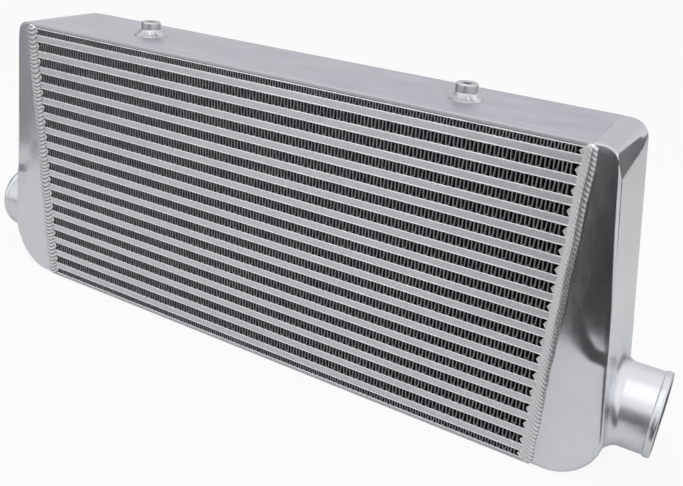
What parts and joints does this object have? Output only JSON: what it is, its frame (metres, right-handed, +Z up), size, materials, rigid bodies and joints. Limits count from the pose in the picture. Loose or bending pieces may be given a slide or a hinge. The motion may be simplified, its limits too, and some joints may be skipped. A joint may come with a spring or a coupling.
{
  "type": "intercooler",
  "caption": "Front-mount bar-and-plate intercooler: a finned aluminium core between two cast end tanks with round hose necks and threaded bosses on top.",
  "frame": {"origin": "middle of the underside, on the surface it stands on", "axes": "+X along the core from the left tank to the right tank, +Y from the front face to the rear face, +Z up"},
  "size_m": [0.8016, 0.1084, 0.3185],
  "materials": {
    "tank_cast": "polished cast aluminium with soft sanding marks",
    "plate_satin": "satin rolled sheet with fine scratches",
    "bar_satin": "grained satin after brazing",
    "sheet_edge": "bright cut edge",
    "fin_dark": "matt brazed fin strip, dark between its walls",
    "weld_bead": "bright rippled weld metal",
    "boss_turned": "turned, with fine rings"
  },
  "bodies": {
    "root": {"bottom_plate": "plate_satin", "top_plate": "plate_satin", "separator_sheets": "sheet_edge", "air_fin_01": "fin_dark", "air_fin_02": "fin_dark", "air_fin_03": "fin_dark", "air_fin_04": "fin_dark", "air_fin_05": "fin_dark", "air_fin_06": "fin_dark", "air_fin_07": "fin_dark", "air_fin_08": "fin_dark", "air_fin_09": "fin_dark", "air_fin_10": "fin_dark", "air_fin_11": "fin_dark", "air_fin_12": "fin_dark", "air_fin_13": "fin_dark", "air_fin_14": "fin_dark", "air_fin_15": "fin_dark", "air_fin_16": "fin_dark", "air_fin_17": "fin_dark", "air_fin_18": "fin_dark", "charge_bars_01": "bar_satin", "charge_bars_02": "bar_satin", "charge_bars_03": "bar_satin", "charge_bars_04": "bar_satin", "charge_bars_05": "bar_satin", "charge_bars_06": "bar_satin", "charge_bars_07": "bar_satin", "charge_bars_08": "bar_satin", "charge_bars_09": "bar_satin", "charge_bars_10": "bar_satin", "charge_bars_11": "bar_satin", "charge_bars_12": "bar_satin", "charge_bars_13": "bar_satin", "charge_bars_14": "bar_satin", "charge_bars_15": "bar_satin", "charge_bars_16": "bar_satin", "charge_bars_17": "bar_satin", "turbulators": "fin_dark", "left_end_bars": "bar_satin", "right_end_bars": "bar_satin", "left_tank": "tank_cast", "left_front_weld": "weld_bead", "left_rear_weld": "weld_bead", "left_boss": "boss_turned", "left_boss_weld": "weld_bead", "right_tank": "tank_cast", "right_front_weld": "weld_bead", "right_rear_weld": "weld_bead", "right_boss": "boss_turned", "right_boss_weld": "weld_bead"}
  },
  "joints": []
}
